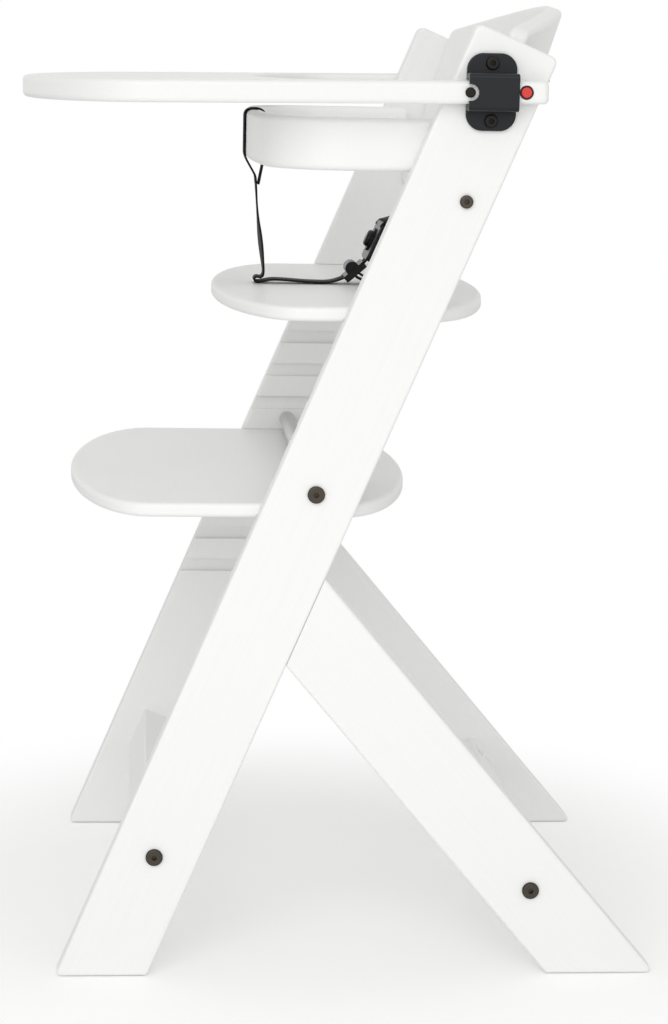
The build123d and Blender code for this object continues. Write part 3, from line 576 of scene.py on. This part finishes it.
def ribbon(name, route, across, twist):
    """Webbing along a route: a flat profile with round edges carried along it, its width along one direction.

    The profile is two half circles of the webbing's thickness, a strap width apart over all. It stands on
    the width direction and on the route's tangent crossed with it, both turned about the tangent by the
    twist at each point, and each end is closed by one face.
    """
    finish = bpy.context.scene.harness_finish
    edge = finish.thickness / 2
    flat = finish.width / 2 - edge
    arc_steps = 5
    arc = np.linspace(-pi / 2, pi / 2, arc_steps)
    wide = np.concatenate([flat + edge * np.cos(arc), -flat - edge * np.cos(arc)])
    high = np.concatenate([edge * np.sin(arc), -edge * np.sin(arc)])
    tangent = np.gradient(route, axis=0)
    tangent /= np.linalg.norm(tangent, axis=1, keepdims=True)
    level = np.asarray(across)
    across = np.cos(twist)[:, None] * level + np.sin(twist)[:, None] * np.cross(tangent, level)
    normal = np.cross(tangent, across)
    grid = route[:, None] + wide[None, :, None] * across[:, None] + high[None, :, None] * normal[:, None]
    rows, columns = grid.shape[:2]
    run = np.concatenate([[0], np.cumsum(np.linalg.norm(np.diff(route, axis=0), axis=1))])
    uv = np.stack(np.broadcast_arrays(wide[None, :], run[:, None]), axis=-1).reshape(-1, 2)
    index = np.arange(rows * columns).reshape(rows, columns)
    ahead = np.roll(index, -1, axis=1)
    sides = np.stack([index[:-1], ahead[:-1], ahead[1:], index[1:]], axis=-1).reshape(-1, 4)
    faces = sides.tolist() + [index[0, ::-1].tolist(), index[-1].tolist()]
    return add_piece(name, grid.reshape(-1, 3), faces, uv)


def harness_piece(piece, material):
    """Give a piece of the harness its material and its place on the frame."""
    piece.data.materials.append(bpy.data.materials[material])
    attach(piece, "frame")
    return piece


def lay_strap(name, node, route, across, twist):
    strap = harness_piece(ribbon(name, route, across, twist), "black_woven_webbing")
    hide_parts(node)


def stitch_rows(name, centres):
    """Stitches along Y at these centres: each an ellipsoid, long along Y and as thick as the thread.

    A row of points goes round Y at each step from one tip to the other, its radius the sine of the step's
    angle and its place along Y minus the cosine. Each tip is one point, joined to its nearest ring by
    triangles.
    """
    finish = bpy.context.scene.harness_finish
    steps_along = 7
    steps_round = 8
    step = np.linspace(0, pi, steps_along)[1:-1, None]
    turn = np.linspace(0, 2 * pi, steps_round, endpoint=False)[None]
    along = -np.cos(step) + 0 * turn
    rings = np.stack([np.sin(step) * np.cos(turn), along, np.sin(step) * np.sin(turn)], axis=-1)
    half = np.array([finish.stitch_thread, finish.stitch, finish.stitch_thread]) / 2
    one = np.concatenate([rings.reshape(-1, 3), [(0, -1, 0), (0, 1, 0)]]) * half
    index = np.arange(rings.shape[0] * rings.shape[1]).reshape(rings.shape[:2])
    ahead = np.roll(index, -1, axis=1)
    sides = np.stack([index[:-1], index[1:], ahead[1:], ahead[:-1]], axis=-1).reshape(-1, 4)
    first = np.stack([index[0], ahead[0], np.full_like(index[0], len(one) - 2)], axis=-1)
    last = np.stack([ahead[-1], index[-1], np.full_like(index[-1], len(one) - 1)], axis=-1)
    shift = len(one) * np.arange(len(centres))[:, None, None]
    faces = [(faces + shift).reshape(-1, faces.shape[1]).tolist() for faces in (sides, first, last)]
    vertices = (np.asarray(centres)[:, None] + one).reshape(-1, 3)
    return add_piece(name, vertices, sum(faces, []))


# Operators


class PaintBoards(bpy.types.Operator):
    """Give the boards their sprayed white paint, with the grain along each board"""

    bl_idname = "chair.paint_boards"
    bl_label = "Paint boards"

    def execute(self, context):
        front_lean = radians(22.8)
        back_lean = radians(40.2)
        front = painted_board("white_satin_paint_front_legs", (0, front_lean, 0))
        back = painted_board("white_satin_paint_back_legs", (0, -back_lean, 0))
        cross = painted_board("white_satin_paint_cross_boards", (pi / 2, 0, 0))
        dress(front, "left_front_leg", "right_front_leg")
        dress(back, "left_back_leg", "right_back_leg")
        dress(cross, "seat", "footrest", "tray", "safety_bar", "safety_bar_screws")
        dress(cross, "back_panel", "front_stretcher", "back_stretcher")
        return {"FINISHED"}


class FinishFixings(bpy.types.Operator):
    """Give the bolts, screws, nuts, rod, dowels and springs their metal and wood"""

    bl_idname = "chair.finish_fixings"
    bl_label = "Finish fixings"

    def execute(self, context):
        finish = context.scene.fixing_finish
        bronze = plated_metal("dark_bronze_plated_steel", finish.bronze, smooth=0.26, rough=0.42)
        oxide = plated_metal("black_oxide_steel", finish.oxide, smooth=0.3, rough=0.46)
        zinc = plated_metal("bright_zinc_plated_steel", finish.zinc, smooth=0.22, rough=0.36)
        wire = plated_metal("drawn_spring_wire", finish.spring_wire, smooth=0.2, rough=0.3)
        dress(bronze, "stretcher_bolts", "tie_rod_bolts", "back_panel_bolts")
        dress(oxide, "bracket_screws", "tray_stop_pins")
        dress(zinc, "stretcher_nuts", "back_panel_inserts", "bracket_inserts")
        dress(wire, "left_button_spring", "right_button_spring", "buckle_spring")
        dress(drawn_steel("satin_drawn_steel"), "tie_rod")
        dress(bare_beech("turned_beech"), "leg_dowels", "stretcher_dowels", "back_panel_dowels")
        return {"FINISHED"}


class MouldPlastics(bpy.types.Operator):
    """Give the brackets, collars, buckle and buttons their moulded plastic"""

    bl_idname = "chair.mould_plastics"
    bl_label = "Mould plastics"

    def execute(self, context):
        finish = context.scene.fixing_finish
        black = moulded_plastic(
            "grained_black_polypropylene", finish.black, smooth=0.28, rough=0.42, grain_depth=0.12, shine=0.25
        )
        glossy = moulded_plastic(
            "gloss_black_acetal", finish.buckle_black, smooth=0.24, rough=0.34, grain_depth=0.06, shine=0.2
        )
        red = moulded_plastic(
            "gloss_red_abs", finish.red, smooth=0.2, rough=0.28, grain_depth=0.03, shine=0.5
        )
        dress(black, "left_tray_bracket", "right_tray_bracket", "button_collars", "strap_stops")
        dress(glossy, "crotch_adjuster", "buckle_body", "buckle_button")
        dress(red, "left_release_button", "right_release_button")
        return {"FINISHED"}


class LayCrotchStrap(bpy.types.Operator):
    """Lay the crotch strap round the safety bar, down to its fold on the seat and back to the buckle"""

    bl_idname = "chair.lay_crotch_strap"
    bl_label = "Lay crotch strap"

    def execute(self, context):
        woven_webbing("black_woven_webbing")
        waxed_thread("black_waxed_thread")
        bar_bottom = bar_low.z / MM
        bar_top = bar_high.z / MM
        seat_top = seat_high.z / MM
        bar_thick = 15.0
        loop_gap = 1.3
        loop_front = -loop_gap
        loop_rear = bar_thick + loop_gap
        loop_top = bar_top + loop_gap
        # Millimetres behind the bar's front face, heights over the floor, and the strap's twist in degrees
        points = [
            (11.35, bar_bottom - 22, 0),
            (loop_rear, bar_bottom + 2.5, 0),
            (loop_rear, bar_bottom + 10, 0),
            (loop_rear, loop_top - 13, 0),
            (loop_rear, loop_top, 0),
            (loop_front, loop_top, 0),
            (loop_front, loop_top - 13, 0),
            (loop_front, bar_bottom + 10, 0),
            (loop_front, bar_bottom + 2.5, 0),
            (6.5, bar_bottom - 10.8, 0),
            (8.4, bar_bottom - 14, 0),
            (9.2, bar_bottom - 18, 0),
            (11, seat_top + 62, 3),
            (14, seat_top + 38, -8),
            (16.6, seat_top + 16, -2),
            (17.2, seat_top + 10.5, 0),
            (16.6, seat_top + 6.4, 0),
            (14, seat_top + 5, 0),
            (11.4, seat_top + 6, 0),
            (8.8, seat_top + 4.7, 0),
            (9.2, seat_top + 1.7, 0),
            (12.5, seat_top + 1.3, 0),
            (18, seat_top + 2.2, 0),
            (24, seat_top + 3.6, 0),
            (36, seat_top + 3.2, 0),
            (58, seat_top + 1.6, 0),
            (80, seat_top + 1.6, 0),
            (97, seat_top + 11.5, 0),
            (107.4, seat_top + 21.5, 0),
            (110.2, seat_top + 27.9, 0),
        ]
        route, twist = self.place(points)
        across = (0, 1, 0)
        # The strap's free tail, doubled under the adjuster
        tail_points = [
            (98.5, seat_top + 6.6, 0),
            (104, seat_top + 3.6, 0),
            (112, seat_top + 1.6, 0),
            (115, seat_top + 3.4, 0),
            (106, seat_top + 6.4, 0),
            (101.5, seat_top + 9.4, 0),
        ]
        tail_route, tail_twist = self.place(tail_points)
        tail = ribbon("crotch_strap_tail", tail_route, across, tail_twist)
        harness_piece(tail, "black_woven_webbing")
        stitches = stitch_rows("crotch_strap_stitches", self.stitch_centres(route))
        harness_piece(stitches, "black_waxed_thread")
        lay_strap("crotch_webbing", "crotch_strap", route, across, twist)
        return {"FINISHED"}

    def stitch_centres(self, route):
        """Centres of three rows of six stitches on the front and the rear face of the sewn join.

        The rear rows lie on the strap's sewn end, the front rows on its run down from the bar.
        """
        finish = bpy.context.scene.harness_finish
        join_drop = 30 * MM
        join = (route[:, 2] < bar_low.z) & (route[:, 2] > bar_low.z - join_drop)
        sewn_end = join & (np.arange(len(route)) < np.argmin(join))
        rear = route[sewn_end]
        front = route[join & ~sewn_end][::-1]
        row_drops = np.array((16.5, 18.5, 20.5)) * MM
        heights = bar_low.z - row_drops
        face = finish.thickness / 2
        rear_rows = np.interp(heights, rear[:, 2], rear[:, 0]) + face
        front_rows = np.interp(heights, front[:, 2], front[:, 0]) - face
        row_stitches = 6
        outs = (np.arange(row_stitches) - (row_stitches - 1) / 2) * (finish.stitch + finish.stitch_gap)
        rows = np.column_stack([np.concatenate([rear_rows, front_rows]), np.tile(heights, 2)])
        backs, sides = np.broadcast_arrays(rows[:, None, :1], outs[None, :, None])
        rises = np.broadcast_to(rows[:, None, 1:], backs.shape)
        return np.concatenate([backs, sides, rises], axis=-1).reshape(-1, 3)

    def place(self, points):
        """Smooth route in the chair's middle plane, and its twist, which takes Y's place in the curve."""
        backs, heights, turns = np.array(points).T
        laid = curve_points(np.column_stack([bar_low.x + backs * MM, np.radians(turns), heights * MM]))
        return laid * (1, 0, 1), laid[:, 1]


class LayShoulderStraps(bpy.types.Operator):
    """Lay both shoulder straps from the buckle's top edge to their slots in the back panel"""

    bl_idname = "chair.lay_shoulder_straps"
    bl_label = "Lay shoulder straps"

    def execute(self, context):
        start_back = 122.03
        start_rise = 54.4
        start_out = 12.5
        slot_back = 230.85
        slot_out = 55.0
        slot_rise = 125.6
        through = 22.9
        reach = hypot(slot_back - start_back, slot_out - start_out)
        heading = atan2(slot_out - start_out, slot_back - start_back)
        start = np.array([bar_low.x / MM + start_back, start_out, seat_high.z / MM + start_rise])
        ahead = np.array([cos(heading), sin(heading), 0])
        # Millimetres along the strap's upright plane, and rises over the buckle's top edge
        points = [
            (-1.2, -2.7),
            (1.5, 1.1),
            (6, 1.6),
            (15, 4),
            (29, 16),
            (48, 36),
            (68, 64),
            (84, 92),
            (reach - 20, slot_rise),
            (reach, slot_rise),
            (reach + through, slot_rise),
        ]
        route = curve_points([(start + along * ahead + (0, 0, rise)) * MM for along, rise in points])
        level = np.zeros(len(route))
        for side, name in ((-1, "left"), (1, "right")):
            turned = route * (1, side, 1)
            across = (sin(heading), -side * cos(heading), 0)
            lay_strap(f"{name}_shoulder_webbing", f"{name}_shoulder_strap", turned, across, level)
        return {"FINISHED"}


class SetStage(bpy.types.Operator):
    """Set the pale floor, the soft studio light and the camera"""

    bl_idname = "chair.set_stage"
    bl_label = "Set stage"

    def execute(self, context):
        scene = context.scene
        studio = scene.studio_set
        self.lay_floor(studio)
        self.light(scene, studio)
        self.aim_camera(scene, studio)
        scene.view_settings.view_transform = "Standard"
        return {"FINISHED"}

    def lay_floor(self, studio):
        """Square floor just under the feet, which fades to white away from the chair for the camera."""
        half = 6.0
        depth = -0.5 * MM
        fade_start = 0.22
        fade_end = 0.6
        corners = np.array([(-1, -1, depth), (1, -1, depth), (1, 1, depth), (-1, 1, depth)]) * (half, half, 1)
        floor = add_piece("studio_floor", corners, [[0, 1, 2, 3]])
        material, tree = new_material("matt_white_studio_floor")
        path = add_node(tree, "ShaderNodeLightPath")
        place = add_node(tree, "ShaderNodeTexCoord").outputs["Object"]
        reach = add_node(tree, "ShaderNodeVectorMath", {0: place}, operation="LENGTH")
        fade = add_node(
            tree,
            "ShaderNodeMapRange",
            {"Value": reach.outputs["Value"], "From Min": fade_start, "From Max": fade_end},
            interpolation_type="SMOOTHSTEP",
        )
        matt = add_node(tree, "ShaderNodeBsdfDiffuse", {"Color": rgba(studio.floor)})
        lift = add_node(tree, "ShaderNodeEmission", {"Strength": studio.floor_lift})
        lifted = add_node(tree, "ShaderNodeAddShader", {0: matt.outputs["BSDF"], 1: lift.outputs["Emission"]})
        white = add_node(tree, "ShaderNodeEmission", {"Strength": 1.0})
        faded = add_node(
            tree,
            "ShaderNodeMixShader",
            {0: fade.outputs["Result"], 1: lifted.outputs["Shader"], 2: white.outputs["Emission"]},
        )
        seen = add_node(
            tree,
            "ShaderNodeMixShader",
            {0: path.outputs["Is Camera Ray"], 1: matt.outputs["BSDF"], 2: faded.outputs["Shader"]},
        )
        add_node(tree, "ShaderNodeOutputMaterial", {"Surface": seen.outputs["Shader"]})
        floor.data.materials.append(material)

    def light(self, scene, studio):
        """Even white light from all round, white to the camera and in reflections, and a lamp high in front.

        A weak low lamp lifts the feet as a white floor does, and isn't mirrored in the paint.
        """
        world = bpy.data.worlds.new("soft_studio")
        world.use_nodes = True
        tree = world.node_tree
        tree.nodes.clear()
        path = add_node(tree, "ShaderNodeLightPath")
        clear = add_node(
            tree,
            "ShaderNodeMath",
            {0: path.outputs["Is Camera Ray"], 1: path.outputs["Is Glossy Ray"]},
            operation="MAXIMUM",
        )
        strength = add_node(
            tree,
            "ShaderNodeMapRange",
            {"Value": clear.outputs["Value"], "To Min": studio.ambient, "To Max": 1.0},
        )
        sky = add_node(
            tree,
            "ShaderNodeBackground",
            {"Strength": strength.outputs["Result"], "Color": (1, 1, 1, 1)},
        )
        add_node(tree, "ShaderNodeOutputWorld", {"Surface": sky.outputs["Background"]})
        scene.world = world
        key_place = (-0.8, -3.15, 2.1)
        key_sides = (3.0, 2.4)
        bounce_place = (0, -1.1, 0.05)
        bounce_sides = (1.6, 0.6)
        self.softbox(scene, "front_softbox", key_place, key_sides, studio.key_power)
        bounce = self.softbox(scene, "floor_bounce", bounce_place, bounce_sides, studio.bounce_power)
        bounce.visible_glossy = False

    def softbox(self, scene, name, place, sides, watts):
        """Large rectangular lamp, aimed at the chair's middle."""
        lamp = bpy.data.lights.new(name, "AREA")
        lamp.shape = "RECTANGLE"
        lamp.size, lamp.size_y = sides
        lamp.energy = watts
        box = bpy.data.objects.new(name, lamp)
        middle = Vector((0, 0, 0.4))
        aim = (Vector(place) - middle).to_track_quat("Z", "Y").to_matrix().to_4x4()
        box.matrix_world = Matrix.Translation(place) @ aim
        scene.collection.objects.link(box)
        return box

    def aim_camera(self, scene, studio):
        """Camera on the chair's left, turned by yaw, pitch and roll from straight along +Y."""
        yaw = studio.camera_yaw
        pitch = studio.camera_pitch
        roll = studio.camera_roll
        ahead = Vector((sin(yaw) * cos(pitch), cos(yaw) * cos(pitch), -sin(pitch)))
        level = Vector((cos(yaw), -sin(yaw), 0))
        rise = level.cross(ahead)
        right = level * cos(roll) + rise * sin(roll)
        up = rise * cos(roll) - level * sin(roll)
        data = bpy.data.cameras.new("photo_camera")
        data.sensor_fit = "VERTICAL"
        data.sensor_height = 24
        data.lens = studio.lens
        data.clip_end = 50
        camera = bpy.data.objects.new("photo_camera", data)
        place = Vector((leg_low.x + studio.camera_behind_toe, -studio.camera_distance, studio.camera_height))
        turn = Matrix((right, up, -ahead)).transposed()
        camera.matrix_world = Matrix.Translation(place) @ turn.to_4x4()
        scene.collection.objects.link(camera)
        scene.camera = camera


class HighChairPanel(bpy.types.Panel):
    """Lists the steps that dress the chair"""

    bl_idname = "VIEW3D_PT_high_chair"
    bl_label = "High Chair"
    bl_space_type = "VIEW_3D"
    bl_region_type = "UI"
    bl_category = "High Chair"

    def draw(self, context):
        for step in steps:
            self.layout.operator(step.bl_idname)


steps = (PaintBoards, FinishFixings, MouldPlastics, LayCrotchStrap, LayShoulderStraps, SetStage)
groups = {
    "board_finish": BoardFinish,
    "fixing_finish": FixingFinish,
    "harness_finish": HarnessFinish,
    "studio_set": StudioSet,
}


def register():
    """Register the property groups, the steps and the panel."""
    for name, group in groups.items():
        bpy.utils.register_class(group)
        setattr(bpy.types.Scene, name, bpy.props.PointerProperty(type=group))
    for step in (*steps, HighChairPanel):
        bpy.utils.register_class(step)


def unregister():
    """Take them all out again."""
    for step in reversed((*steps, HighChairPanel)):
        bpy.utils.unregister_class(step)
    for name, group in groups.items():
        delattr(bpy.types.Scene, name)
        bpy.utils.unregister_class(group)


def main():
    """Dress the chair step by step."""
    register()
    bpy.ops.chair.paint_boards()
    bpy.ops.chair.finish_fixings()
    bpy.ops.chair.mould_plastics()
    bpy.ops.chair.lay_crotch_strap()
    bpy.ops.chair.lay_shoulder_straps()
    bpy.ops.chair.set_stage()


if __name__ == "__main__":
    main()
